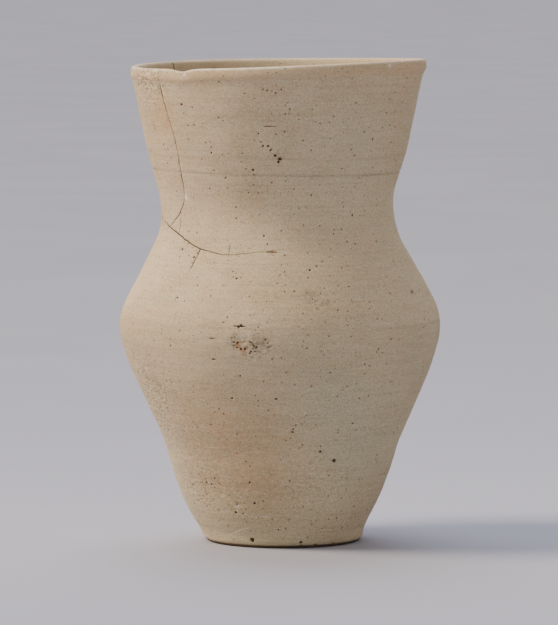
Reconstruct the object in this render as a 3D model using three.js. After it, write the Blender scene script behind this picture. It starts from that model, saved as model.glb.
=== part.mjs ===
// A wheel-thrown jar of pale marl clay with a sharp shoulder, a narrow waist and a flaring neck, open at the top.
// Millimetres, +Z up. The origin is on the ground under the middle of the belly, and -Y is the front.
import * as THREE from "three";

// Driving dimensions
const HEIGHT = 245; // from the ground to the lip, on average
const FOOT_RADIUS = 38.7; // where the flat underside ends
const BELLY_RADIUS = 83.9; // of the shoulder's corner, before it is rounded
const WAIST_RADIUS = 58.9;
const LIP_RADIUS = 75.8;
const FLOOR_THICKNESS = 11.5;
const FLOOR_RADIUS = 24; // of the flat middle of the floor inside

// How far the pot strays from a true round
const RIM_TILT = 1.8; // the lip rises this much at +X and falls as much at -X
const RIM_TWIST = 0.55; // and is warped by this much twice round
const WARP_START = 178; // the height at which the lip's warping begins
const OVAL = 0.5; // the belly is wider by this much from side to side than from front to back
const NOTCH_DEPTH = 1.3; // of the worn dip in the lip, to the right of the crack
const NOTCH_AZIMUTH = 229;
const NOTCH_WIDTH = 4.5; // in degrees
const NOTCH_FADE = 8; // how fast the dip dies away below the lip

// How far the middle of the pot lies towards +X at each height. It leans and wanders a little.
const AXIS = [
  [0, 1.6],
  [14, 0.5],
  [55, 0.9],
  [110, 0],
  [132, 0.1],
  [158, -0.7],
  [181, -1.8],
  [200, -1.3],
  [232, -1.1],
  [HEIGHT, -0.7],
];

const AROUND = 80; // sides of the round
const FLATNESS = 0.32; // the furthest that a straight stretch of a rounded corner may lie from its curve

const CLAY = { color: 0xc3ae90, roughness: 0.92, metalness: 0 };

// Corners of the wall's section: radius, height, and how much of each side its rounding takes.
const OUTSIDE = [
  [FOOT_RADIUS, 0, 1],
  [FOOT_RADIUS + 2.3, 2.4, 1.4],
  [FOOT_RADIUS + 3.4, 6.4, 2.2],
  [50.4, 21.5, 8],
  [57, 40.5, 6],
  [59.5, 50.5, 5],
  [77.4, 91, 10],
  [BELLY_RADIUS, 113.8, 13],
  [WAIST_RADIUS + 0.6, 159.6, 10],
  [WAIST_RADIUS, 176, 7],
  [66.4, 201, 5],
  [LIP_RADIUS - 1.8, HEIGHT - 8, 1.5],
  [LIP_RADIUS, HEIGHT - 4.2, 1.6],
  [LIP_RADIUS - 0.9, HEIGHT, 1.7],
];
const INSIDE = [
  [LIP_RADIUS - 4.6, HEIGHT - 0.4, 1.8],
  [LIP_RADIUS - 7.1, HEIGHT - 7, 4],
  [59.2, 194, 8],
  [WAIST_RADIUS - 6.8, 175, 8],
  [WAIST_RADIUS - 6.2, 159, 12],
  [BELLY_RADIUS - 8.2, 113, 18],
  [67.4, 86, 10],
  [51.4, 50, 10],
  [42.6, 26, 10],
  [36, FLOOR_THICKNESS + 1.2, 8],
  [FLOOR_RADIUS, FLOOR_THICKNESS, 2],
];

// The section as a closed outline, from the axis up the outside, over the lip and down the inside.
function wallSection() {
  const corners = [...OUTSIDE, ...INSIDE].map(([r, z, soft]) => ({
    at: new THREE.Vector2(r, z),
    soft,
  }));
  const start = new THREE.Vector2(0, 0);
  const end = new THREE.Vector2(0, FLOOR_THICKNESS);
  const outline = [start];
  corners.forEach(({ at, soft }, i) => {
    const before = i ? corners[i - 1].at : start;
    const after = i + 1 < corners.length ? corners[i + 1].at : end;
    const from = at.clone().add(before.clone().sub(at).setLength(soft));
    const to = at.clone().add(after.clone().sub(at).setLength(soft));
    const sag = from.clone().add(to).multiplyScalar(0.5).distanceTo(at) / 2;
    const steps = Math.ceil(Math.sqrt(sag / FLATNESS));
    const bend = new THREE.QuadraticBezierCurve(from, at, to);
    outline.push(...(steps > 1 ? bend.getPoints(steps) : [bend.getPoint(0.5)]));
  });
  return [...outline, end];
}

// The middle of the pot at a height, eased from each stated place to the next.
function axisAt(height) {
  const step = (i) => THREE.MathUtils.smoothstep(height, AXIS[i - 1][0], AXIS[i][0]);
  return AXIS.reduce((x, [, place], i) => (i ? x + (place - AXIS[i - 1][1]) * step(i) : place), 0);
}

// Moves a point of the true round to where the hand-made pot has it. The underside stays flat.
function stray(point) {
  const azimuth = Math.atan2(point.y, point.x);
  const rise = THREE.MathUtils.smoothstep(point.z, WARP_START, HEIGHT);
  const fromNotch = THREE.MathUtils.radToDeg(azimuth) - NOTCH_AZIMUTH;
  const turn = THREE.MathUtils.euclideanModulo(fromNotch + 180, 360) - 180;
  const notch = NOTCH_DEPTH * Math.exp(-((turn / NOTCH_WIDTH) ** 2)) * rise ** NOTCH_FADE;
  const girth = 1 + (OVAL * Math.sin((Math.PI * point.z) / HEIGHT) * Math.cos(2 * azimuth)) / BELLY_RADIUS;
  const lift = RIM_TILT * Math.cos(azimuth) - RIM_TWIST * Math.sin(2 * azimuth);
  point.x = point.x * girth + axisAt(point.z);
  point.y *= girth;
  point.z += rise * lift - notch;
}

function jar() {
  const geometry = new THREE.LatheGeometry(wallSection(), AROUND);
  geometry.rotateX(Math.PI / 2);
  const places = geometry.getAttribute("position");
  const point = new THREE.Vector3();
  for (let i = 0; i < places.count; i++) {
    point.fromBufferAttribute(places, i);
    stray(point);
    places.setXYZ(i, point.x, point.y, point.z);
  }
  geometry.computeVertexNormals();
  const mesh = new THREE.Mesh(geometry, new THREE.MeshStandardMaterial(CLAY));
  mesh.name = "jar";
  return mesh;
}

const root = new THREE.Group();
root.add(jar());

export default root;
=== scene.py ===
"""A lidless jar of pale marl clay, thrown on a wheel, cracked and worn, alone on a pale studio floor."""

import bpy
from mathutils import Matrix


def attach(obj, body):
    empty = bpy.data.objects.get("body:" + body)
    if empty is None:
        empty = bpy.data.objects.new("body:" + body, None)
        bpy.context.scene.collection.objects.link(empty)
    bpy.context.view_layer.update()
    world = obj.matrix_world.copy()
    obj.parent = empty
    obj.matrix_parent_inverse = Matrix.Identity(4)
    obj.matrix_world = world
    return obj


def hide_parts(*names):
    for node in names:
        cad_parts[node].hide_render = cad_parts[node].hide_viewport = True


bl_info = {
    "name": "Canopic jar",
    "version": (1, 0, 0),
    "blender": (4, 5, 0),
    "location": "View3D > Sidebar > Jar",
    "description": "Builds a cracked pottery jar with its clay surface, and a studio to show it in",
    "category": "Add Mesh",
}

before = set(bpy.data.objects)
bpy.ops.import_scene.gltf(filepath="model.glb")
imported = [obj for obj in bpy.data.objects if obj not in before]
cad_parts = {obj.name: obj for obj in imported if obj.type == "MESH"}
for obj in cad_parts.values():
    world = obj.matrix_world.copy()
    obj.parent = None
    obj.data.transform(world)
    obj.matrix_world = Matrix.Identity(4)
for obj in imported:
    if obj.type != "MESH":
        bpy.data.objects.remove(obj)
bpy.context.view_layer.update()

import math

import bmesh
import bpy
import numpy as np
from bpy.props import FloatProperty, FloatVectorProperty, IntProperty, PointerProperty
from mathutils import Vector, noise

MM = 0.001
MOST_TRIANGLES = 200_000

# Browns that are mixed into the clay, and the grey of the floor's mottle, as linear colours.
STREAK = (0.33, 0.27, 0.20)
DRAG = (0.40, 0.32, 0.23)
GRIT = (0.35, 0.28, 0.20)
# Painted shade, darker and olive, for the body under the shoulder's edge.
LOWER_BODY_SHADE = (0.30, 0.26, 0.15)
CRUMB = (0.17, 0.11, 0.06)
# Stains, and painted shade low on the front left.
SMUDGE_AND_SHADE = (0.20, 0.16, 0.11)
SCAR = (0.23, 0.185, 0.12)
TURNED_LINE = (0.17, 0.12, 0.09)
INSIDE = (0.36, 0.29, 0.20)
CRACK = (0.045, 0.026, 0.014)
PAPER_MOTTLE = (0.5, 0.5, 0.5)

# Azimuths are in degrees from +X, anticlockwise from above, so 270 is the front. Heights are in millimetres
# above the ground, before the lip's tilt. Other lengths on the jar are in millimetres too.

# How far the middle of the pot lies towards +X at each height.
AXIS = [
    (0, 1.6),
    (14, 0.5),
    (55, 0.9),
    (110, 0),
    (132, 0.1),
    (158, -0.7),
    (181, -1.8),
    (200, -1.3),
    (232, -1.1),
    (245, -0.7),
]

# Pits that stand out one by one: azimuth, height and radius.
LONE_PITS = [
    (228, 227, 0.8),
    (233, 216, 0.6),
    (206, 217, 0.5),
    (206, 213, 0.6),
    (259, 193, 0.8),
    (315, 207, 0.7),
    (338, 195, 0.6),
    (220, 152, 0.8),
    (332, 130, 0.9),
    (245, 99, 0.7),
    (250, 79, 0.7),
    (268, 79, 0.7),
    (303, 65, 0.7),
    (289, 51, 0.8),
    (297, 46, 1.3),
    (253, 35, 0.7),
    (248, 4, 1.5),
    (283, 3, 1.0),
]

# Pits in short rows, the largest last: the azimuth and height of both ends, how many, the largest radius and
# how far they scatter.
PIT_ROWS = [
    ((263, 207), (272, 198), 7, 1.3, 0.8),
    ((239, 210), (242, 202), 4, 0.8, 1.2),
    ((246, 141), (253, 139), 4, 0.7, 0.8),
    ((300, 153), (282, 141), 5, 0.8, 1.5),
    ((282, 68), (274, 62), 6, 0.8, 1.2),
    ((223, 32), (233, 35), 4, 1.0, 1.0),
    ((256, 16), (244, 19), 4, 1.0, 1.0),
    ((252, 24), (255, 24), 2, 1.0, 0.5),
    ((231, 153), (229, 149), 3, 1.1, 0.4),
    ((254, 116), (257, 116), 4, 1.2, 0.4),
    ((252, 113), (257, 104), 15, 0.85, 1.3),
    ((268, 107), (261, 106), 16, 0.7, 1.7),
]

# Wide shallow dips: azimuth, height, radius and depth. They are the scar's two hollows, the worn dip in the
# lip and the flake at the left of the waist.
DISHES = [
    (264, 106, 6.5, 0.4),
    (255, 108, 5, 0.4),
    (229, 243.5, 4, 0.3),
    (190, 165, 3.5, 0.5),
]

# Soft patches: azimuth, height, spread and strength. The flecks are where the skin is rough and crumbly.
FLECKS = [
    (205, 80, 22, 0.8),
    (190, 60, 16, 0.8),
    (220, 30, 16, 0.75),
    (244, 24, 7, 0.6),
    (286, 30, 16, 0.3),
    (260, 107, 8, 1.0),
    (285, 128, 6, 0.6),
    (205, 242, 18, 1.0),
    (190, 165, 6, 0.8),
    (60, 70, 34, 0.5),
    (120, 110, 26, 0.4),
]
BLUSHES = [
    (245, 55, 26, 0.65),
    (230, 30, 20, 0.35),
    (263, 30, 18, 0.4),
    (230, 75, 20, 0.35),
    (190, 120, 30, 0.25),
    (200, 215, 26, 0.3),
    (217, 221, 10, 0.9),
    (190, 165, 6, 1.0),
    (240, 240, 12, 0.45),
    (330, 242, 14, 0.4),
    (30, 130, 26, 0.4),
    (45, 242, 20, 0.7),
    (95, 60, 22, 0.6),
]
OLIVES = [
    (290, 80, 26, 0.8),
    (308, 50, 30, 0.85),
    (280, 15, 22, 0.6),
    (245, 8, 18, 0.6),
    (205, 20, 24, 0.75),
    (300, 200, 34, 0.5),
    (315, 150, 30, 0.4),
    (320, 100, 26, 0.4),
    (55, 90, 32, 0.6),
    (130, 30, 24, 0.5),
]
PALES = [
    (300, 150, 24, 0.7),
    (325, 140, 26, 0.8),
    (312, 105, 18, 0.4),
    (80, 150, 30, 0.6),
]
# The wide patches low on the front left, at azimuths 210 to 258, are painted shade on the lower body; the
# small ones are stains.
SMUDGES_AND_SHADES = [
    (281, 131, 3.5, 0.8),
    (288, 127, 2, 0.9),
    (332, 130, 2, 0.8),
    (270, 200, 3, 0.4),
    (263, 107, 4.5, 0.35),
    (255, 106, 3, 0.5),
    (210, 60, 28, 0.45),
    (236, 46, 24, 0.55),
    (258, 30, 18, 0.26),
    (100, 60, 28, 0.3),
]
RUSTS = [
    (255, 107, 1.5, 1.0),
    (257, 104, 1.5, 1.0),
    (206, 215, 1.5, 0.6),
    (267, 152, 1.0, 0.9),
    (188, 165, 2, 0.7),
]
CHALKS = [
    (220, 178, 1.3, 1.0),
    (264, 104, 1.0, 0.5),
    (258, 112, 1.5, 0.35),
    (244, 22, 1.3, 0.45),
    (190, 166, 1.5, 0.8),
]

# Cracks and dark marks: azimuth, height and how strongly each shows there. It wanders between its stops.
NECK_CRACK = [
    (217, 245, 0.15),
    (217, 232, 0.9),
    (219, 218, 0.4),
    (221, 205, 0.6),
    (220, 190, 0.9),
    (220, 178, 0.35),
    (212, 168, 0.9),
    (204, 163, 0.4),
]
SHOULDER_CRACK = [
    (182, 169, 0),
    (200, 163, 0.7),
    (212, 160, 0.9),
    (230, 153, 0.65),
    (245, 150, 0.4),
    (262, 152, 0.3),
    (280, 154, 0),
]
SPUR_CRACK = [
    (231, 152, 1),
    (230, 145, 0.6),
    (227, 138, 0),
]
BACK_CRACK = [
    (140, 245, 0.8),
    (142, 230, 0.6),
    (143, 218, 0),
]
EDGE_FLAKE = [
    (186, 124, 0.4),
    (183, 119, 0.9),
    (186, 114, 0.4),
]
DARK_LINES = (
    NECK_CRACK,
    SPUR_CRACK,
    BACK_CRACK,
    EDGE_FLAKE,
    ((254, 116, 0.5), (257, 116, 1)),
    ((214, 166, 0.7), (214, 160, 0.5)),
    ((247, 155, 0.3), (247, 150, 0.4)),
    ((265, 215, 0.5), (269, 215, 0.5)),
    ((265, 152, 0.5), (269, 152, 0.7)),
)
PALE_SCRATCHES = (
    ((230, 6, 0.5), (240, 9, 1), (249, 11, 0.5)),
    ((250, 17, 0.5), (262, 17, 0.8)),
    ((303, 116, 0.3), (314, 116, 0.3)),
)

PATCHES = {
    "blush": BLUSHES,
    "olive": OLIVES,
    "pale": PALES,
    "smudge_and_shade": SMUDGES_AND_SHADES,
    "rust": RUSTS,
    "chalk": CHALKS,
    "fleck": FLECKS,
}


class JarShape(bpy.types.PropertyGroup):
    """The jar's driving sizes. They are the construction model's own."""

    height: FloatProperty(
        name="Height", description="From the ground to the lip, on average", default=0.245, unit="LENGTH"
    )
    foot_radius: FloatProperty(
        name="Foot radius", description="Where the flat underside ends", default=0.0387, unit="LENGTH"
    )
    belly_radius: FloatProperty(
        name="Belly radius", description="Of the shoulder's edge, before rounding", default=0.0839,
        unit="LENGTH",
    )
    waist_radius: FloatProperty(
        name="Waist radius", description="The narrowest place outside", default=0.0589, unit="LENGTH"
    )
    lip_radius: FloatProperty(
        name="Lip radius", description="The widest place of the lip", default=0.0758, unit="LENGTH"
    )
    floor_thickness: FloatProperty(
        name="Floor thickness", description="Of the clay under the inside", default=0.0115, unit="LENGTH"
    )
    rim_tilt: FloatProperty(
        name="Rim tilt", description="How far the lip rises at +X", default=0.0018, unit="LENGTH"
    )
    columns: IntProperty(
        name="Columns", description="Faces round the jar before refining", default=160, min=24
    )
    seed: IntProperty(name="Seed", description="Chooses where pits, flakes and scratches fall", default=7)


class ClayLooks(bpy.types.PropertyGroup):
    """The clay's colours and the depth of its surface."""

    buff: FloatVectorProperty(
        name="Buff", description="The clay's main colour", subtype="COLOR", default=(0.535, 0.41, 0.243)
    )
    cream: FloatVectorProperty(
        name="Cream", description="Where the skin is palest", subtype="COLOR", default=(0.62, 0.482, 0.300)
    )
    blush: FloatVectorProperty(
        name="Blush", description="Where the fire reddened it", subtype="COLOR", default=(0.57, 0.36, 0.19)
    )
    olive: FloatVectorProperty(
        name="Olive", description="Where the fire left it greenish", subtype="COLOR",
        default=(0.49, 0.438, 0.28),
    )
    rust: FloatVectorProperty(
        name="Rust", description="Iron stains and specks", subtype="COLOR", default=(0.36, 0.13, 0.05)
    )
    # Also the worn lip's edge, with the painted highlight along it.
    chalk: FloatVectorProperty(
        name="Chalk", description="Fresh chips and lime specks", subtype="COLOR", default=(0.90, 0.80, 0.66)
    )
    # Dark brown for the dirt specks; it also darkens the pits and paints a contact shadow along the bottom
    # of the foot.
    soil_and_shade: FloatVectorProperty(
        name="Soil", description="Dirt in the pits and on the foot", subtype="COLOR",
        default=(0.07, 0.04, 0.02),
    )
    roughness: FloatProperty(
        name="Roughness", description="How matt the clay is", subtype="FACTOR", default=0.93, min=0, max=1
    )


class StudioSet(bpy.types.PropertyGroup):
    """The floor, the lights and the camera."""

    paper: FloatVectorProperty(
        name="Paper", description="The pale floor's colour", subtype="COLOR", default=(0.39, 0.386, 0.44)
    )
    key_power: FloatProperty(name="Key", description="Strength of the large light at the left", default=4.75)
    key_tint: FloatVectorProperty(
        name="Key tint", description="Colour of the large light", subtype="COLOR", default=(1, 0.875, 0.726)
    )
    key_azimuth: FloatProperty(
        name="Key azimuth", description="Where it stands", subtype="ANGLE", default=math.radians(184)
    )
    key_height: FloatProperty(
        name="Key height", description="How high it stands", subtype="ANGLE", default=math.radians(39)
    )
    key_softness: FloatProperty(
        name="Key softness", description="How wide it looks from the jar", subtype="ANGLE",
        default=math.radians(25),
    )
    top_power: FloatProperty(name="Top", description="Strength of the light above and behind", default=2.35)
    top_tint: FloatVectorProperty(
        name="Top tint", description="Colour of the light above", subtype="COLOR", default=(0.76, 0.82, 1)
    )
    fill_power: FloatProperty(name="Fill", description="Strength of the weak light in front", default=0.27)
    sky: FloatVectorProperty(
        name="Sky", description="The light from all round", subtype="COLOR", default=(0.525, 0.51, 0.515)
    )
    lens: FloatProperty(
        name="Lens", description="The camera's focal length", subtype="DISTANCE_CAMERA", default=291.5
    )
    eye: FloatVectorProperty(
        name="Eye", description="Where the camera stands", subtype="XYZ", unit="LENGTH",
        default=(-0.0005, -2.584, 0.318),
    )
    aim: FloatVectorProperty(
        name="Aim", description="The point it looks at", subtype="XYZ", unit="LENGTH",
        default=(-0.0005, 0, 0.1168),
    )


def smoothstep(value, low, high):
    """0 below low, 1 above high, and eased between. high may be the smaller."""
    share = np.clip((value - low) / (high - low), 0, 1)
    return share * share * (3 - 2 * share)


def axis_place(height):
    """How far the middle of the pot lies towards +X at each height."""
    place = np.full_like(height, AXIS[0][1])
    for (low, start), (high, end) in zip(AXIS, AXIS[1:]):
        place += (end - start) * smoothstep(height, low, high)
    return place


def grain(places, wave, seed=0):
    """Smooth noise from about -1 to 1 at each place. wave is the length of a wave in mm, along each axis."""
    shifted = places / np.asarray(wave, float) + seed * 17.3
    return np.array([noise.noise(Vector(place)) for place in shifted])


class Wall:
    """The jar's section, from under the foot, up the outside and over the lip to the middle of the floor."""

    BEND_STEPS = 12
    TANGENT_SPAN = 0.25

    def __init__(self, shape):
        foot, belly, waist = shape.foot_radius / MM, shape.belly_radius / MM, shape.waist_radius / MM
        lip, height, floor = shape.lip_radius / MM, shape.height / MM, shape.floor_thickness / MM
        self.height = height
        # Radius, height, and how much of each side the corner's rounding takes.
        outside = [
            (foot, 0, 1),
            (foot + 2.3, 2.4, 1.4),
            (foot + 3.4, 6.4, 2.2),
            (50.4, 21.5, 8),
            (57, 40.5, 5),
            (59.5, 50.5, 5),
            (77.4, 91, 10),
            (belly, 113.8, 13),
            (waist + 0.6, 159.6, 9),
            (waist, 176, 7),
            (66.4, 201, 5),
            (lip - 1.8, height - 8, 1.5),
            (lip, height - 4.2, 1.6),
            (lip - 0.9, height, 1.7),
        ]
        inside = [
            (lip - 4.6, height - 0.4, 1.8),
            (lip - 7.1, height - 7, 4),
            (59.2, 194, 8),
            (waist - 6.8, 175, 6),
            (waist - 6.2, 159, 9),
            (belly - 8.2, 113, 18),
            (67.4, 86, 10),
            (51.4, 50, 10),
            (42.6, 26, 8),
            (36, floor + 1.2, 6),
            (24, floor, 2),
        ]
        path = self.rounded([(0, 0)], outside + inside, [(0, floor)])
        self.radii, self.heights = path.T
        self.lengths = np.concatenate([[0], np.cumsum(np.hypot(*np.diff(path, axis=0).T))])
        self.end = self.lengths[-1]
        self.top = int(np.argmax(self.heights))
        self.lip = self.lengths[self.top]
        self.foot = foot

    def rounded(self, start, corners, end):
        """The outline through the corners, each rounded by a curve that takes some of both its sides."""
        knots = [np.array(point[:2], float) for point in start + corners + end]
        outline = [knots[0]]
        for before, at, after, (_, _, soft) in zip(knots, knots[1:], knots[2:], corners):
            first = at + (before - at) * soft / np.linalg.norm(before - at)
            last = at + (after - at) * soft / np.linalg.norm(after - at)
            for share in np.linspace(0, 1, self.BEND_STEPS):
                outline.append(
                    (1 - share) ** 2 * first + 2 * share * (1 - share) * at + share**2 * last
                )
        return np.array(outline + [knots[-1]])

    def place(self, along):
        """Radius and height at a length along the section."""
        return np.interp(along, self.lengths, self.radii), np.interp(along, self.lengths, self.heights)

    def facing(self, along):
        """Which way the surface faces there, as parts along the radius and the height."""
        radius_a, height_a = self.place(np.maximum(along - self.TANGENT_SPAN, 0))
        radius_b, height_b = self.place(np.minimum(along + self.TANGENT_SPAN, self.end))
        out, up = height_b - height_a, radius_a - radius_b
        size = np.hypot(out, up)
        return out / size, up / size

    def outside_at(self, height):
        """The length along the section where the outside has that height."""
        start = int(np.searchsorted(self.lengths, self.foot - 1))
        rising = slice(start, self.top + 1)
        return np.interp(height, self.heights[rising], self.lengths[rising])

    def inside_at(self, height):
        """The same for the inside."""
        falling = slice(self.top, None)
        return np.interp(-np.asarray(height, float), -self.heights[falling], self.lengths[falling])

    def points(self, azimuth, along):
        """Places on the true round, from azimuths in radians and lengths along the section."""
        radius, height = self.place(along)
        return np.stack([radius * np.cos(azimuth), radius * np.sin(azimuth), height], -1)

    def normals(self, azimuth, along):
        out, up = self.facing(along)
        return np.stack([out * np.cos(azimuth), out * np.sin(azimuth), up], -1)


def stray(wall, points, shape):
    """Moves points of the true round to where the hand-made pot has them, as the construction model does."""
    twist, warp_start, oval = 0.55, 178, 0.5
    notch_depth, notch_azimuth, notch_width, notch_fade = 1.3, 229, 4.5, 8
    x, y, z = points.T
    azimuth = np.arctan2(y, x)
    rise = smoothstep(z, warp_start, wall.height)
    turn = (np.degrees(azimuth) - notch_azimuth + 180) % 360 - 180
    notch = notch_depth * np.exp(-((turn / notch_width) ** 2)) * rise**notch_fade
    belly = shape.belly_radius / MM
    girth = 1 + oval * np.sin(math.pi * z / wall.height) * np.cos(2 * azimuth) / belly
    lift = shape.rim_tilt / MM * np.cos(azimuth) - twist * np.sin(2 * azimuth)
    return np.stack([x * girth + axis_place(z), y * girth, z + rise * lift - notch], -1)


def row_places(wall):
    """Lengths along the section where the grid has rows: close together where the section bends most."""
    bevel, lip = wall.foot + 9, wall.lip
    zones = [
        (2.5, wall.foot - 2, 3),
        (wall.foot - 2, bevel, 0.6),
        (bevel, lip - 9, 1.05),
        (lip - 9, lip + 7, 0.55),
        (lip + 7, wall.end - 2, 3.2),
    ]
    rows = [np.linspace(low, high, round((high - low) / step), endpoint=False) for low, high, step in zones]
    return np.concatenate(rows + [[wall.end - 2]])


def round_grid(wall, columns):
    """A closed mesh of the true round. Its "along" attribute keeps each point's length along the section."""
    rows = row_places(wall)
    turns = np.arange(columns) * 2 * math.pi / columns
    azimuth, along = np.meshgrid(turns, rows)
    points = wall.points(azimuth.ravel(), along.ravel())
    caps = wall.points(np.zeros(2), np.array([0, wall.end]))
    count = len(rows) * columns
    faces = []
    for row in range(len(rows) - 1):
        for column in range(columns):
            following = (column + 1) % columns
            low, high = row * columns, (row + 1) * columns
            faces.append((low + column, low + following, high + following, high + column))
    last = (len(rows) - 1) * columns
    for column in range(columns):
        following = (column + 1) % columns
        faces.append((count, following, column))
        faces.append((count + 1, last + column, last + following))
    mesh = bpy.data.meshes.new("jar_skin")
    mesh.from_pydata(np.concatenate([points, caps]), [], faces)
    kept = mesh.attributes.new("along", "FLOAT", "POINT")
    kept.data.foreach_set("value", np.concatenate([along.ravel(), [0, wall.end]]))
    return mesh


def nearest_gap(points, centres, radii):
    """How far each point is outside the nearest of some balls."""
    gaps = np.full(len(points), np.inf)
    for centre, radius in zip(centres, radii):
        gaps = np.minimum(gaps, np.linalg.norm(points - centre, axis=1) - radius)
    return gaps


def refine(mesh, wall, details):
    """Splits the grid's edges near the small features, the first time only round the jar."""
    bm = bmesh.new()
    bm.from_mesh(mesh)
    layer = bm.verts.layers.float["along"]
    for reach, only_round, with_lines in ((2.6, True, True), (1.5, False, True), (0.7, False, False)):
        points = np.array([vert.co for vert in bm.verts])
        along = np.array([vert[layer] for vert in bm.verts])
        gaps = details.gaps(points, along, with_lines)
        close = gaps < reach
        bm.verts.index_update()
        edges = []
        for edge in bm.edges:
            first, second = edge.verts
            level = abs(first[layer] - second[layer]) < 0.05
            if close[first.index] and close[second.index] and (level or not only_round):
                edges.append(edge)
        bmesh.ops.subdivide_edges(bm, edges=edges, cuts=1, use_grid_fill=True, use_single_edge=True)
    bm.to_mesh(mesh)
    bm.free()


def softened(values, reach=6):
    """Rounds the bends of a run of values by averaging each with its neighbours. The ends stay in place."""
    reach = min(reach, (len(values) - 1) // 2)
    odd = np.concatenate([
        2 * values[0] - values[reach:0:-1],
        values,
        2 * values[-1] - values[-2:-reach - 2:-1],
    ])
    return np.convolve(odd, np.full(2 * reach + 1, 1 / (2 * reach + 1)), "valid")


class Details:
    """The small features of the surface: where they are, how deep they go and what colour they bring."""

    # Turned lines: height, how far one tilts towards +X, depth and width.
    LINES = ((190, 1.1, 0.30, 0.36), (198.4, 1.6, 0.12, 0.32), (114.6, 0.7, 0.2, 0.4))
    # Zones where the lip flaked: azimuth, spread, how many flakes and how far down they reach.
    FLAKED_LIP = ((203, 19, 22, 7.5), (275, 90, 10, 3), (60, 150, 16, 3.5))
    SMALL_PITS = 150
    SCRATCHES = 34
    FOOT_NICKS = 22

    def __init__(self, wall, seed):
        self.wall = wall
        self.random = np.random.default_rng(seed)
        self.pits = LONE_PITS + self.pit_rows() + self.random_pits(self.SMALL_PITS)
        self.chips = self.random_chips()
        self.cracks = [
            [self.route(stops) for stops in DARK_LINES]
            + [self.route(stops, inside=True) for stops in (NECK_CRACK[:5], BACK_CRACK)],
            [self.route(SHOULDER_CRACK)],
            [self.route(stops) for stops in PALE_SCRATCHES + self.random_scratches(self.SCRATCHES)],
        ]
        self.pit_centres = self.spots(self.pits)
        self.chip_centres = self.spots(self.chips)

    def spots(self, stops, inside=False):
        """The places of features that are listed as azimuth, height, and more."""
        azimuth = np.radians([stop[0] for stop in stops])
        height = np.array([stop[1] for stop in stops], float)
        along = self.wall.inside_at(height) if inside else self.wall.outside_at(height)
        return self.wall.points(azimuth, along)

    def pit_rows(self):
        """The pits of the short rows, scattered a little to both sides of each row."""
        pits = []
        for start, end, count, largest, scatter in PIT_ROWS:
            for share in np.linspace(0, 1, count):
                azimuth, height = np.array(start) + share * np.subtract(end, start)
                azimuth, height = self.random.normal((azimuth, height), scatter)
                radius = largest * (0.4 + 0.6 * share) * self.random.uniform(0.6, 1.1)
                pits.append((azimuth, height, radius))
        return pits

    def random_pits(self, count):
        """Small pits all over the outside, thinly spread, as azimuth, height and radius."""
        along = self.random.uniform(self.wall.foot + 3, self.wall.lip - 6, count)
        azimuth = self.random.uniform(0, 360, count)
        radius = 0.26 + 0.4 * self.random.random(count) ** 2.5
        return list(zip(azimuth, self.wall.place(along)[1], radius))

    def random_scratches(self, count):
        """Short level scratches, most of them low on the body, where the clay was trimmed."""
        scratches = []
        for _ in range(count):
            azimuth, height = self.random.uniform(0, 360), self.random.uniform(8, 112)
            length, slope = self.random.uniform(4, 14), self.random.uniform(-0.9, 0.9)
            strength = self.random.uniform(0.2, 0.6)
            scratches.append((
                (azimuth, height, 0.1),
                (azimuth + 0.5 * length, height + 0.5 * slope, strength),
                (azimuth + length, height + slope, 0.1),
            ))
        return tuple(scratches)

    def random_chips(self):
        """Flakes off the lip, most of them at the left, and nicks along the foot: also with a depth."""
        height = self.wall.height
        chips = []
        for azimuth, spread, count, low in self.FLAKED_LIP:
            for _ in range(count):
                where = azimuth + spread * self.random.uniform(-1, 1)
                level = height - self.random.uniform(-0.3, low)
                radius = self.random.uniform(0.6, 1.7)
                chips.append((where, level, radius, radius * self.random.uniform(0.25, 0.5)))
        for _ in range(self.FOOT_NICKS):
            radius = self.random.uniform(0.5, 1.4)
            chips.append((self.random.uniform(0, 360), self.random.uniform(0, 2.2), radius, 0.4 * radius))
        return chips

    def route(self, stops, inside=False, step=0.9, jitter=0.3):
        """A crack's points, a little off the straight line between its stops, and its strength at each."""
        azimuth, height, strength = np.array(stops, float).T
        radius = self.wall.place(self.wall.outside_at(height))[0]
        lengths = np.hypot(np.diff(np.radians(azimuth)) * radius[1:], np.diff(height))
        run = np.concatenate([[0], np.cumsum(lengths)])
        places = np.linspace(0, run[-1], round(run[-1] / step))
        wander = np.stack([places, np.zeros_like(places), np.zeros_like(places)], -1)
        azimuths = softened(np.interp(places, run, azimuth)) + jitter * grain(wander, 3.1, len(stops))
        heights = softened(np.interp(places, run, height)) + jitter * grain(wander, 2.7, len(stops) + 3)
        azimuths += 2 * jitter * grain(wander, 17, len(stops) + 5)
        strengths = np.interp(places, run, strength) * (1 + 0.45 * grain(wander, 5, len(stops) + 7))
        along = self.wall.inside_at(heights) if inside else self.wall.outside_at(heights)
        return self.wall.points(np.radians(azimuths), along), np.clip(strengths, 0, 1)

    def line_gap(self, points, along, line):
        """How far each point lies above a turned line, along the section."""
        level, tilt, _, _ = line
        azimuth = np.arctan2(points[:, 1], points[:, 0])
        return along - self.wall.outside_at(level - tilt * np.cos(azimuth))

    def gaps(self, points, along, with_lines):
        """How far each point is from the nearest small feature."""
        gaps = nearest_gap(points, self.pit_centres, [pit[2] for pit in self.pits])
        gaps = np.minimum(gaps, nearest_gap(points, self.chip_centres, [chip[2] for chip in self.chips]))
        for route, strength in self.cracks[0] + self.cracks[1]:
            gaps = np.minimum(gaps, nearest_gap(points, route[strength > 0.05], np.zeros(len(route))))
        if with_lines:
            for line in self.LINES[:1]:
                gaps = np.minimum(gaps, np.abs(self.line_gap(points, along, line)) + 0.6)
        return gaps

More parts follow.
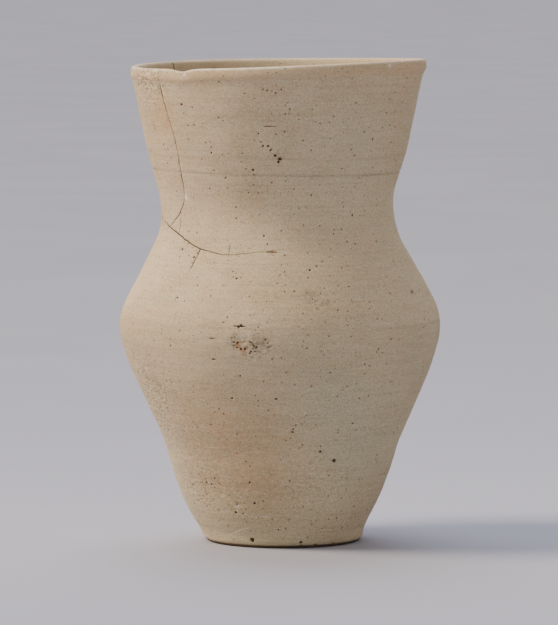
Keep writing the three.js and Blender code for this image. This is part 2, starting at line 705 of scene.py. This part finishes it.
    def crack_field(self, points, normals, routes):
        """The signed distance to the nearest crack of a group, and how strongly it shows there."""
        side = np.full(len(points), 3.0)
        shows = np.zeros(len(points))
        for route, strength in routes:
            near = np.all((points > route.min(0) - 6) & (points < route.max(0) + 6), axis=1)
            here, facing = points[near], normals[near]
            best = np.full(len(here), 6.0)
            signed = np.full(len(here), 6.0)
            bold = np.zeros(len(here))
            for start, end, first, last in zip(route, route[1:], strength, strength[1:]):
                step = end - start
                share = np.clip((here - start) @ step / (step @ step), 0, 1)
                offset = here - start - share[:, None] * step
                distance = np.linalg.norm(offset, axis=1)
                closer = distance < best
                across = np.einsum("ij,ij->i", np.cross(step, here - start), facing)
                best[closer] = distance[closer]
                signed[closer] = np.copysign(distance, across)[closer]
                bold[closer] = (first + (last - first) * share)[closer]
            bold *= smoothstep(best, 1.5, 0.8)
            closest = np.abs(signed) < np.abs(side[near])
            places = np.flatnonzero(near)[closest]
            side[places] = np.clip(signed, -3, 3)[closest]
            shows[places] = bold[closest]
        return side, shows


def soft_patches(points, details, patches):
    """Adds up soft round patches of colour."""
    total = np.zeros(len(points))
    for centre, (_, _, spread, strength) in zip(details.spots(patches), patches):
        total += strength * np.exp(-np.sum((points - centre) ** 2, axis=1) / spread**2)
    return np.minimum(total, 1)


def bowls(points, centres, sizes, rough):
    """How deep round hollows with ragged edges go, as shares of their own depth."""
    deepest = np.zeros(len(points))
    depths = np.zeros(len(points))
    for centre, (radius, depth) in zip(centres, sizes):
        reach = np.linalg.norm(points - centre, axis=1) / radius * (1 + 0.38 * rough)
        share = smoothstep(reach, 1.1, 0.25)
        deepest = np.maximum(deepest, share)
        depths = np.maximum(depths, share * depth)
    return deepest, depths


def thrown_relief(wall, azimuth, along, points):
    """What the hand and the wheel left: unevenness, ridges inside and cut-off arcs underneath."""
    wall_outside = smoothstep(along, wall.foot - 1, wall.foot + 3)
    wall_outside *= smoothstep(along, wall.lip - 1, wall.lip - 6)
    wall_inside = smoothstep(along, wall.lip + 3, wall.lip + 12)
    underside = smoothstep(along, wall.foot - 1, wall.foot - 3)
    lower = smoothstep(points[:, 2], 117, 111)

    # The unevenness only ever takes clay away, so that the jar stays inside its construction model.
    uneven = 0.16 * (grain(points, 48, 1) - 0.8)
    bands = 0.10 * grain(points, (60, 60, 9), 2) + 0.05 * grain(points, (45, 45, 3.4), 3)
    drag = 0.08 * grain(points, (9, 9, 2.3), 4) + 0.075 * grain(points, (4.5, 4.5, 3.4), 5)
    skin = 0.02 * grain(points, 2.4, 6)
    height = wall_outside * (uneven + bands * (1 - 0.5 * lower) + drag * (0.25 + 0.75 * lower) + skin)
    fingers = 0.32 * np.sin(2 * math.pi * along / 10.5 + azimuth + 0.7 * grain(points, 40, 7))
    height += wall_inside * (fingers + 0.12 * grain(points, (20, 20, 4), 8) - 0.1)
    arcs = np.sin(np.hypot(points[:, 0] - 22, points[:, 1] + 14) * 2 * math.pi / 5.2)
    height += underside * (-0.10 - 0.07 * arcs + 0.03 * grain(points, 4, 9))
    return height


def cut_lines(details, points, along, outside):
    """The turned lines, faint in places: how deep they go, and how strongly they show."""
    broken = 0.62 + 0.38 * grain(points, (26, 26, 60), 10)
    depth = np.zeros(len(points))
    shows = np.zeros(len(points))
    boldest = details.LINES[0][2]
    for line in details.LINES:
        _, _, deep, width = line
        cut = np.exp(-((details.line_gap(points, along, line) / width) ** 2)) * broken * outside
        depth += deep * cut
        shows = np.maximum(shows, cut * deep / boldest)
    return depth, shows


def place_masks(wall, azimuth, along, points, outside):
    """Masks for the parts of the jar: painted shade on the lower body, a painted contact shadow along the
    foot, the inside, and the lip with a painted highlight along its edge.
    """
    z = points[:, 2]
    turn = np.degrees(azimuth) % 360
    # The lip's edge is worn pale and carries a painted highlight, strongest between azimuth 238 and 270.
    highlit_azimuths = 0.25 + 0.75 * smoothstep(turn, 226, 238) * smoothstep(turn, 280, 270)
    edge = smoothstep(np.abs(along - wall.lip + 1.0), 1.3, 0.5)
    ragged = z + 0.5 * grain(points, 7, 15)
    return {
        # Painted shade under the shoulder's edge, fading out by 60 mm above the ground.
        "lower": smoothstep(ragged, 115.2, 113.4) * smoothstep(z, 60, 110) * outside,
        # Painted contact shadow: the lowest 2 mm of the outside, where the foot meets the floor.
        "foot": smoothstep(z, 1.9, 1.1) * outside,
        "inside": smoothstep(along, wall.lip + 0.5, wall.lip + 3),
        "edge": edge * highlit_azimuths,
        "band": smoothstep(np.abs(along - wall.lip + 5), 3.4, 2),
    }


def carve(wall, details, azimuth, along):
    """The height of the relief at each point of the skin, and the masks that colour it."""
    points = wall.points(azimuth, along)
    normals = wall.normals(azimuth, along)
    outside = along < wall.lip
    height = thrown_relief(wall, azimuth, along, points)
    line_depth, lines = cut_lines(details, points, along, outside)
    height -= line_depth

    rough = grain(points, 0.9, 11) + 0.5 * grain(points, 0.45, 14)
    pit_sizes = [(radius, 0.8 * radius) for _, _, radius in details.pits]
    pit_share, pit_depth = bowls(points, details.pit_centres, pit_sizes, rough)
    chip_sizes = [chip[2:] for chip in details.chips]
    chip_share, chip_depth = bowls(points, details.chip_centres, chip_sizes, rough)
    dish_sizes = [dish[2:] for dish in DISHES]
    dish_share, dish_depth = bowls(points, details.spots(DISHES), dish_sizes, grain(points, 3, 12))
    crumbs = dish_share * (0.16 * grain(points, 1.3, 13) + 0.1 * rough)
    height -= outside * (pit_depth + chip_depth + dish_depth - crumbs)

    masks = {}
    for name, routes in zip(("crack_a", "crack_b", "scratch"), details.cracks):
        side, shows = details.crack_field(points, normals, routes)
        masks[name] = np.stack([side, shows, np.zeros_like(side)], -1)
        depth = 0.12 if name == "scratch" else 0.55
        height -= depth * shows * np.clip(1 - np.abs(side) / 0.45, 0, 1)
        height += 0.1 * depth * shows * np.sign(side) * np.exp(-np.abs(side) / 0.6)
    masks["pit"] = pit_share * outside
    masks["chip"] = chip_share * outside
    masks["scar"] = dish_share * outside
    masks["turned_line"] = lines
    for name, patches in PATCHES.items():
        masks[name] = soft_patches(points, details, patches)
    masks.update(place_masks(wall, azimuth, along, points, outside))
    return points + normals * height[:, None], masks


def keep_masks(mesh, masks):
    """Writes each mask to the mesh as an attribute that the clay's material reads."""
    for name, values in masks.items():
        if values.ndim == 1:
            kept = mesh.attributes.new(name, "FLOAT", "POINT")
            kept.data.foreach_set("value", values.astype(np.float32))
        else:
            kept = mesh.attributes.new(name, "FLOAT_VECTOR", "POINT")
            kept.data.foreach_set("vector", values.astype(np.float32).ravel())


class Recipe:
    """A material's nodes, with one short call for each kind of step."""

    def __init__(self, name):
        self.material = bpy.data.materials.new(name)
        self.material.use_nodes = True
        self.tree = self.material.node_tree
        self.tree.nodes.clear()
        self.place = self.step("ShaderNodeTexCoord").outputs["Object"]

    def step(self, kind, inputs=(), **settings):
        """Adds a node. Each input is a number or colour to set, or an output to join."""
        made = self.tree.nodes.new(kind)
        for name, value in settings.items():
            setattr(made, name, value)
        for name, value in dict(inputs).items():
            if isinstance(value, bpy.types.NodeSocket):
                self.tree.links.new(value, made.inputs[name])
            else:
                made.inputs[name].default_value = value
        return made

    def math(self, operation, first, second=0.0):
        return self.step("ShaderNodeMath", {0: first, 1: second}, operation=operation).outputs[0]

    def ease(self, value, low, high, start=0.0, end=1.0):
        """Eases a value from start, at low, to end, at high."""
        ranges = {"Value": value, "From Min": low, "From Max": high, "To Min": start, "To Max": end}
        return self.step("ShaderNodeMapRange", ranges, interpolation_type="SMOOTHSTEP").outputs[0]

    def mix(self, share, below, above, blend="MIX"):
        inputs = {0: share, 6: colour(below), 7: colour(above)}
        return self.step("ShaderNodeMix", inputs, data_type="RGBA", blend_type=blend).outputs[2]

    def mask(self, name):
        return self.step("ShaderNodeAttribute", attribute_name=name).outputs["Fac"]

    def times(self, first, second):
        return self.math("MULTIPLY", first, second)

    def line(self, name, outer, inner):
        """How strongly the nearest crack of a group shows: nothing at its outer reach, all at its inner."""
        kept = self.step("ShaderNodeAttribute", attribute_name=name).outputs["Vector"]
        parts = self.step("ShaderNodeSeparateXYZ", {0: kept})
        gap = self.math("ABSOLUTE", parts.outputs[0])
        return self.times(self.ease(gap, outer, inner), parts.outputs[1])

    def stretched(self, wave):
        """The place on the jar, scaled so that one wave is that many millimetres long on each axis."""
        scale = [1 / (length * MM) for length in wave]
        return self.step("ShaderNodeMapping", {"Vector": self.place, "Scale": scale}).outputs[0]

    def noise(self, wave, detail=2.0, roughness=0.5):
        """Noise from 0 to 1, mostly near a half."""
        inputs = {"Vector": self.stretched(wave), "Scale": 1.0, "Detail": detail, "Roughness": roughness}
        return self.step("ShaderNodeTexNoise", inputs).outputs["Fac"]

    def specks(self, cell, size, share):
        """Small round specks: one in some of the cells, none in the others."""
        inputs = {"Vector": self.stretched((cell, cell, cell)), "Scale": 1.0, "Randomness": 1.0}
        cells = self.step("ShaderNodeTexVoronoi", inputs)
        chosen = self.step("ShaderNodeSeparateColor", {0: cells.outputs["Color"]})
        radius = self.math("MULTIPLY", chosen.outputs[1], size / cell)
        inner = self.math("MULTIPLY", radius, 0.4)
        spot = self.ease(cells.outputs["Distance"], radius, inner)
        return self.math("MULTIPLY", spot, self.math("LESS_THAN", chosen.outputs[0], share))


def colour(value):
    """A colour with its fourth number, or an output as it is."""
    return value if isinstance(value, bpy.types.NodeSocket) else (*value, 1.0)


def fired_clay(clay, looks, mottle):
    """The body's own colour: buff and cream, greenish and reddened by the fire."""
    base = clay.mix(clay.ease(mottle, 0.36, 0.64), looks.buff, looks.cream)
    base = clay.mix(clay.mask("olive"), base, looks.olive)
    base = clay.mix(clay.mask("pale"), base, looks.cream)
    uneven = clay.ease(clay.noise((9, 9, 4), 3.0), 0.25, 0.6, 0.55, 1.0)
    base = clay.mix(clay.times(clay.mask("blush"), uneven), base, looks.blush)
    patchy = clay.noise((7, 7, 4.5), 3.0, 0.6)
    base = clay.mix(clay.ease(patchy, 0.5, 0.72, 0.0, 0.4), base, looks.olive)
    return clay.mix(clay.ease(patchy, 0.46, 0.3, 0.0, 0.22), base, looks.blush)


def grain_of_clay(clay, looks, base):
    """Streaks of the wheel, drag marks and grit, and painted shade under the shoulder."""
    streaks = clay.noise((30, 30, 1.5), 3.0, 0.6)
    base = clay.mix(clay.ease(streaks, 0.4, 0.7, 0.0, 0.15), base, STREAK, "MULTIPLY")
    drag = clay.noise((3.6, 3.6, 1.1), 3.0, 0.65)
    base = clay.mix(clay.ease(drag, 0.5, 0.75, 0.0, 0.2), base, DRAG, "MULTIPLY")
    grit = clay.noise((0.62, 0.62, 0.62), 2.0, 0.65)
    base = clay.mix(clay.ease(grit, 0.5, 0.70, 0.0, 0.36), base, GRIT, "MULTIPLY")
    base = clay.mix(clay.ease(grit, 0.5, 0.3, 0.0, 0.3), base, looks.chalk)
    # Painted shade just under the shoulder's edge, with an olive tint.
    return clay.mix(clay.times(clay.mask("lower"), 0.13), base, LOWER_BODY_SHADE)


def specked(clay, looks, base, crumbs, dark_specks, fine_specks):
    """Crumbly flecks, and specks of lime, iron and dirt."""
    rough = clay.math("ADD", clay.times(clay.mask("fleck"), 0.85), 0.06)
    base = clay.mix(clay.times(rough, clay.ease(crumbs, 0.54, 0.61, 0.0, 0.95)), base, CRUMB)
    base = clay.mix(clay.times(rough, clay.ease(crumbs, 0.42, 0.34, 0.0, 0.6)), base, looks.chalk)
    base = clay.mix(clay.times(clay.specks(2.6, 0.6, 0.25), 0.5), base, looks.chalk)
    base = clay.mix(clay.times(clay.specks(3.1, 0.7, 0.16), 0.5), base, looks.rust)
    base = clay.mix(clay.times(fine_specks, 0.6), base, looks.soil_and_shade)
    return clay.mix(clay.times(dark_specks, 0.78), base, looks.soil_and_shade)


def worn(clay, looks, base):
    """Smudges and wide painted shade low on the front left, the scar, stains, the lip worn pale with a
    painted highlight along its edge, flakes, pits and a painted contact shadow along the foot.
    """
    # Stains, and wide painted shade low on the front left.
    smudged = clay.ease(clay.noise((2, 2, 1.4), 3.0), 0.3, 0.6, 0.3, 1.0)
    base = clay.mix(clay.times(clay.times(clay.mask("smudge_and_shade"), smudged), 0.6), base, SMUDGE_AND_SHADE)
    flecks = clay.ease(clay.noise((1.1, 1.1, 0.9), 3.0, 0.7), 0.42, 0.62)
    base = clay.mix(clay.times(clay.mask("scar"), clay.times(flecks, 0.7)), base, SCAR)
    base = clay.mix(clay.times(clay.mask("chalk"), 0.8), base, looks.chalk)
    base = clay.mix(clay.times(clay.mask("rust"), 0.75), base, looks.rust)
    base = clay.mix(clay.times(clay.mask("turned_line"), 0.6), base, TURNED_LINE)

    # The lip's edge: worn pale, with a painted highlight along it.
    rubbed_and_highlit = clay.times(clay.mask("edge"), clay.ease(clay.noise((3, 3, 2), 3.0), 0.3, 0.55, 0.3, 1.0))
    base = clay.mix(clay.times(clay.mask("band"), 0.3), base, looks.blush)
    base = clay.mix(clay.times(rubbed_and_highlit, 0.5), base, looks.chalk)
    flaked = clay.times(clay.mask("chip"), clay.ease(flecks, 0.0, 1.0, 0.35, 0.95))
    base = clay.mix(clay.times(flaked, 0.8), base, looks.chalk)
    base = clay.mix(clay.times(clay.mask("inside"), 0.35), base, INSIDE)
    base = clay.mix(clay.ease(clay.mask("pit"), 0.15, 0.55, 0.0, 0.93), base, looks.soil_and_shade)
    # Painted contact shadow along the bottom of the foot, nearly black.
    return clay.mix(clay.times(clay.mask("foot"), 0.95), base, looks.soil_and_shade)


def cracked(clay, looks, base):
    """The cracks, dark, and the scratches, pale."""
    split = clay.math("MAXIMUM", clay.line("crack_a", 0.42, 0.22), clay.line("crack_b", 0.42, 0.22))
    base = clay.mix(clay.math("MINIMUM", clay.times(split, 1.35), 0.97), base, CRACK)
    return clay.mix(clay.times(clay.line("scratch", 0.5, 0.1), 0.45), base, looks.chalk)


def fine_relief(clay, crumbs, holes):
    """Rilling, scratches and sand too fine for the mesh, and hollows under the specks and crumbs."""
    rilling = clay.noise((26, 26, 0.8), 3.0, 0.6)
    scratches = clay.noise((3, 3, 0.55), 2.0, 0.6)
    sand = clay.noise((0.32, 0.32, 0.32), 2.0, 0.6)
    crumbled = clay.times(clay.times(crumbs, clay.mask("fleck")), 3.2)
    relief = clay.math("ADD", clay.times(rilling, 0.35), clay.times(scratches, 0.35))
    relief = clay.math("ADD", relief, clay.times(sand, 0.5))
    relief = clay.math("SUBTRACT", relief, clay.times(holes, 0.9))
    relief = clay.math("SUBTRACT", relief, crumbled)
    return clay.step("ShaderNodeBump", {"Strength": 1.0, "Distance": 0.14 * MM, "Height": relief}).outputs[0]


def clay_material(looks):
    """Pale fired clay: mottled, rilled and gritty, with dirt in its pits and cracks."""
    clay = Recipe("marl_clay")
    mottle = clay.noise((34, 34, 26), 3.0, 0.55)
    crumbs = clay.noise((2.2, 2.2, 1.2), 3.0, 0.65)
    dark_specks = clay.specks(2.2, 0.78, 0.38)
    fine_specks = clay.specks(1.3, 0.42, 0.3)

    base = fired_clay(clay, looks, mottle)
    base = grain_of_clay(clay, looks, base)
    base = specked(clay, looks, base, crumbs, dark_specks, fine_specks)
    base = worn(clay, looks, base)
    base = cracked(clay, looks, base)

    holes = clay.math("MAXIMUM", dark_specks, fine_specks)
    normal = fine_relief(clay, crumbs, holes)
    roughness = clay.ease(mottle, 0.3, 0.7, looks.roughness - 0.05, looks.roughness + 0.03)
    shader = clay.step(
        "ShaderNodeBsdfPrincipled",
        {"Base Color": base, "Roughness": roughness, "Normal": normal, "Specular IOR Level": 0.3},
    )
    clay.step("ShaderNodeOutputMaterial", {"Surface": shader.outputs[0]})
    return clay.material


def paper_material(studio):
    """The floor's pale paper, with a painted falloff of light: darker the farther it lies from the jar, and
    a faint mottle.
    """
    paper = Recipe("floor_paper")
    parts = paper.step("ShaderNodeSeparateXYZ", {0: paper.place})
    across = paper.math("POWER", parts.outputs[0], 2.0)
    deep = paper.math("POWER", parts.outputs[1], 2.0)
    distance = paper.math("SQRT", paper.math("ADD", across, deep))
    # Painted falloff of light: the paper darkens towards half its colour with distance from the jar.
    far = paper.math("DIVIDE", distance, paper.math("ADD", distance, 0.9))
    falloff_shade = tuple(0.5 * part for part in studio.paper)
    base = paper.mix(far, studio.paper, falloff_shade)
    mottle = paper.noise((260, 260, 260), 3.0)
    base = paper.mix(paper.ease(mottle, 0.4, 0.6, 0.0, 0.04), base, PAPER_MOTTLE)
    shader = paper.step("ShaderNodeBsdfPrincipled", {"Base Color": base, "Roughness": 0.85})
    paper.step("ShaderNodeOutputMaterial", {"Surface": shader.outputs[0]})
    return paper.material


class JAR_OT_vessel(bpy.types.Operator):
    """Builds the jar's skin with its relief and wear, in place of the plain construction solid"""

    bl_idname = "jar.vessel"
    bl_label = "Vessel"

    def execute(self, context):
        shape = context.scene.jar_shape
        wall = Wall(shape)
        details = Details(wall, shape.seed)
        mesh = round_grid(wall, shape.columns)
        refine(mesh, wall, details)

        count = len(mesh.vertices)
        rounded = np.empty(count * 3, np.float32)
        mesh.vertices.foreach_get("co", rounded)
        rounded = rounded.reshape(-1, 3).astype(float)
        along = np.empty(count, np.float32)
        mesh.attributes["along"].data.foreach_get("value", along)
        azimuth = np.arctan2(rounded[:, 1], rounded[:, 0])
        carved, masks = carve(wall, details, azimuth, along.astype(float))
        placed = stray(wall, carved, shape) * MM
        mesh.vertices.foreach_set("co", placed.astype(np.float32).ravel())
        mesh.attributes.remove(mesh.attributes["along"])
        keep_masks(mesh, masks)
        mesh.polygons.foreach_set("use_smooth", np.ones(len(mesh.polygons), bool))
        mesh.update()

        triangles = sum(len(face.vertices) - 2 for face in mesh.polygons)
        if triangles > MOST_TRIANGLES:
            raise RuntimeError(f"the jar's skin has {triangles} triangles, over {MOST_TRIANGLES}")
        skin = bpy.data.objects.new("jar_skin", mesh)
        context.scene.collection.objects.link(skin)
        mesh.materials.append(clay_material(context.scene.jar_looks))
        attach(skin, "root")
        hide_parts("jar")
        return {"FINISHED"}


def aimed(place, target):
    """The turn that points a light or camera at a place."""
    return (Vector(target) - Vector(place)).to_track_quat("-Z", "Y").to_euler()


def add_lamp(context, name, place, power, tint):
    """A broad distant light. Its place is its azimuth, its height and how wide it looks, in radians."""
    azimuth, height, softness = place
    lamp = bpy.data.lights.new(name, "SUN")
    lamp.energy = power
    lamp.color = tint
    lamp.angle = softness
    light = bpy.data.objects.new(name, lamp)
    level = math.cos(height)
    light.location = (level * math.cos(azimuth), level * math.sin(azimuth), math.sin(height))
    light.rotation_euler = aimed(light.location, (0, 0, 0))
    context.scene.collection.objects.link(light)


class JAR_OT_studio(bpy.types.Operator):
    """Lays the pale floor and sets the soft lights and the camera"""

    bl_idname = "jar.studio"
    bl_label = "Studio"

    # The floor's rings, in metres, and the sides of each.
    RINGS = (0.3, 1, 3, 9, 27, 60)
    SPOKES = 48
    # Azimuth, height and width of the light above and behind, and of the weak one in front, in degrees.
    TOP_PLACE = (100, 60, 48)
    FILL_PLACE = (285, 20, 60)
    WHITE = (1, 1, 1)
    # How far the camera sees, in metres.
    SIGHT = 200

    def execute(self, context):
        studio = context.scene.jar_studio
        self.lay_floor(context, studio)
        key_place = (studio.key_azimuth, studio.key_height, studio.key_softness)
        add_lamp(context, "key", key_place, studio.key_power, studio.key_tint)
        add_lamp(context, "top", np.radians(self.TOP_PLACE), studio.top_power, studio.top_tint)
        add_lamp(context, "fill", np.radians(self.FILL_PLACE), studio.fill_power, self.WHITE)
        self.set_sky(context, studio)
        self.set_camera(context, studio)
        return {"FINISHED"}

    def lay_floor(self, context, studio):
        bm = bmesh.new()
        bmesh.ops.create_circle(bm, cap_ends=True, segments=self.SPOKES, radius=self.RINGS[0])
        rim = [edge for edge in bm.edges if edge.is_boundary]
        for inner, outer in zip(self.RINGS, self.RINGS[1:]):
            grown = bmesh.ops.extrude_edge_only(bm, edges=rim)["geom"]
            corners = [part for part in grown if isinstance(part, bmesh.types.BMVert)]
            bmesh.ops.scale(bm, vec=(outer / inner, outer / inner, 1), verts=corners)
            rim = [part for part in grown if isinstance(part, bmesh.types.BMEdge)]
        bmesh.ops.recalc_face_normals(bm, faces=list(bm.faces))
        mesh = bpy.data.meshes.new("studio_floor")
        bm.to_mesh(mesh)
        bm.free()
        mesh.materials.append(paper_material(studio))
        floor = bpy.data.objects.new("studio_floor", mesh)
        context.scene.collection.objects.link(floor)

    def set_sky(self, context, studio):
        world = bpy.data.worlds.new("studio_sky")
        world.use_nodes = True
        backdrop = world.node_tree.nodes["Background"]
        backdrop.inputs["Color"].default_value = (*studio.sky, 1)
        backdrop.inputs["Strength"].default_value = 1
        context.scene.world = world

    def set_camera(self, context, studio):
        data = bpy.data.cameras.new("camera")
        data.lens = studio.lens
        data.clip_end = self.SIGHT
        camera = bpy.data.objects.new("camera", data)
        camera.location = studio.eye
        camera.rotation_euler = aimed(studio.eye, studio.aim)
        context.scene.collection.objects.link(camera)
        context.scene.camera = camera


class JAR_PT_sidebar(bpy.types.Panel):
    """Lists the jar's settings and the steps that build it"""

    bl_label = "Canopic jar"
    bl_space_type = "VIEW_3D"
    bl_region_type = "UI"
    bl_category = "Jar"

    def draw(self, context):
        column = self.layout.column()
        for group in (context.scene.jar_shape, context.scene.jar_looks, context.scene.jar_studio):
            for name in group.bl_rna.properties.keys():
                if name not in ("rna_type", "name"):
                    column.prop(group, name)
            column.separator()
        for step in (JAR_OT_studio, JAR_OT_vessel):
            column.operator(step.bl_idname)


CLASSES = (JarShape, ClayLooks, StudioSet, JAR_OT_vessel, JAR_OT_studio, JAR_PT_sidebar)


def register():
    for cls in CLASSES:
        bpy.utils.register_class(cls)
    bpy.types.Scene.jar_shape = PointerProperty(type=JarShape)
    bpy.types.Scene.jar_looks = PointerProperty(type=ClayLooks)
    bpy.types.Scene.jar_studio = PointerProperty(type=StudioSet)


def unregister():
    del bpy.types.Scene.jar_studio
    del bpy.types.Scene.jar_looks
    del bpy.types.Scene.jar_shape
    for cls in reversed(CLASSES):
        bpy.utils.unregister_class(cls)


def main():
    register()
    bpy.ops.jar.studio()
    bpy.ops.jar.vessel()


if __name__ == "__main__":
    main()
